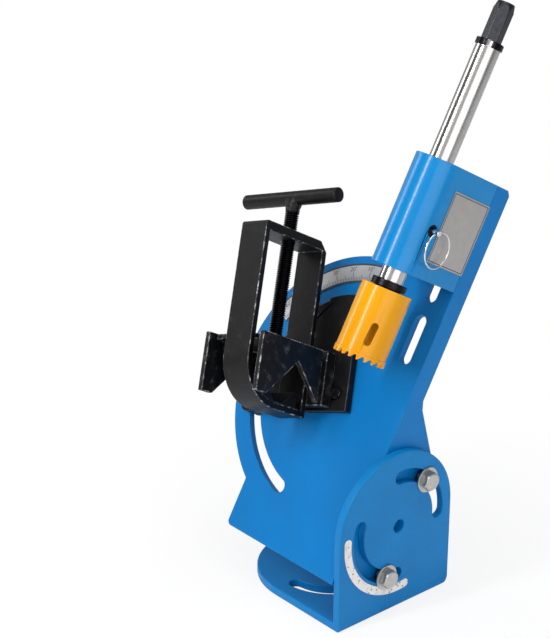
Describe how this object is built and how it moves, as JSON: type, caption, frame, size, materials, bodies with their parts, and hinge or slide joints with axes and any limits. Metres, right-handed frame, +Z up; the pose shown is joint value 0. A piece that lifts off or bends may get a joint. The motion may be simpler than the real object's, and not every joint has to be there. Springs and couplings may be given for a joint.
{
  "type": "tube notcher",
  "caption": "Bench tube notcher: slotted L bracket, tilting head with a guided hole saw spindle, and a swivelling screw clamp with vee jaws.",
  "frame": {"origin": "centre of the foot's lower face, which rests on the bench", "axes": "+Z up, +X out of the upright leg's outer face, +Y to the back, towards which the head leans"},
  "size_m": [0.2412, 0.2551, 0.5327],
  "materials": {
    "blue_body": "gloss enamel",
    "blue_block": "gloss enamel",
    "blue_bracket": "gloss enamel",
    "black_paint": "satin paint, worn at the edges",
    "zinc": "zinc plated",
    "shaft_steel": "ground and polished",
    "dark_steel": "black oxide",
    "saw_paint": "gloss enamel",
    "scale_metal": "satin, dark graduations",
    "plate_metal": "satin, dark thin border",
    "bearing_steel": "ground",
    "cage_brass": "plain",
    "seal_rubber": "matt"
  },
  "bodies": {
    "bracket": {"base_bracket": "blue_bracket"},
    "head": {"main_plate": "blue_body", "tilt_bolts": "zinc", "tilt_washers": "zinc", "tilt_nuts": "zinc", "angle_scale": "scale_metal"},
    "block": {"spindle_block": "blue_block", "name_plate": "plate_metal", "block_bolts": "zinc", "block_washers": "zinc", "bearing_cups": "bearing_steel", "spindle_seals": "seal_rubber", "plunger_sleeve": "dark_steel"},
    "bearings": {"bearing_cages": "cage_brass", "bearing_rollers": "bearing_steel"},
    "spindle": {"spindle_shaft": "shaft_steel", "stop_collar": "dark_steel", "drive_hex": "dark_steel", "saw_nut": "dark_steel", "hole_saw": "saw_paint"},
    "pin": {"lock_pin": "zinc"},
    "ring": {"pin_ring": "shaft_steel"},
    "swivel": {"swivel_plate": "black_paint", "pivot_bolt": "zinc", "pivot_washer": "zinc", "lock_bolt": "zinc", "lock_washer": "zinc", "spacer_block": "black_paint", "clamp_frame": "black_paint", "lower_jaw": "black_paint"},
    "jaw": {"upper_jaw": "black_paint", "jaw_washer": "zinc"},
    "screw": {"clamp_screw": "dark_steel", "t_handle": "black_paint", "jaw_rivet": "zinc"}
  },
  "joints": [
    {"name": "head_tilt", "type": "hinge", "parent": "bracket", "child": "head", "pos_m": [0.077, 0.003, 0.083], "axis": [-1, 0, 0], "range_deg": [-17, 50]},
    {"name": "clamp_swivel", "type": "hinge", "parent": "head", "child": "swivel", "pos_m": [-0.0056, 0.00682, 0.18102], "axis": [0, -0.866, 0.5], "range_deg": [-20, 40]},
    {"name": "block_slide", "type": "slide", "parent": "head", "child": "block", "axis": [0, 0.5, 0.866], "range_m": [-0.03, 0.0035]},
    {"name": "spindle_spin", "type": "hinge", "parent": "block", "child": "bearings", "pos_m": [0.0464, 0.0438, 0.35967], "axis": [0, 0.5, 0.866], "continuous": true},
    {"name": "spindle_feed", "type": "slide", "parent": "bearings", "child": "spindle", "axis": [0, 0.5, 0.866], "range_m": [-0.103, 0.011]},
    {"name": "lock_pin_pull", "type": "slide", "parent": "block", "child": "pin", "axis": [1, 0, 0], "range_m": [0, 0.002], "stiffness_N_per_m": 500, "springref_m": -0.004},
    {"name": "ring_swing", "type": "hinge", "parent": "pin", "child": "ring", "pos_m": [0.0746, 0.03965, 0.35248], "axis": [0.0872, -0.9962, 0], "range_deg": [-5, 165]},
    {"name": "jaw_feed", "type": "slide", "parent": "swivel", "child": "jaw", "axis": [-0.342, 0.4698, 0.8138], "range_m": [-0.0161, 0.0541]},
    {"name": "clamp_screw_turn", "type": "hinge", "parent": "jaw", "child": "screw", "pos_m": [-0.07504, -0.00223, 0.27994], "axis": [-0.342, 0.4698, 0.8138], "range_deg": [-2880, 9720]}
  ],
  "couplings": [
    {"joint": "jaw_feed", "follows": "clamp_screw_turn", "m_per_rad": 0.00031831}
  ]
}
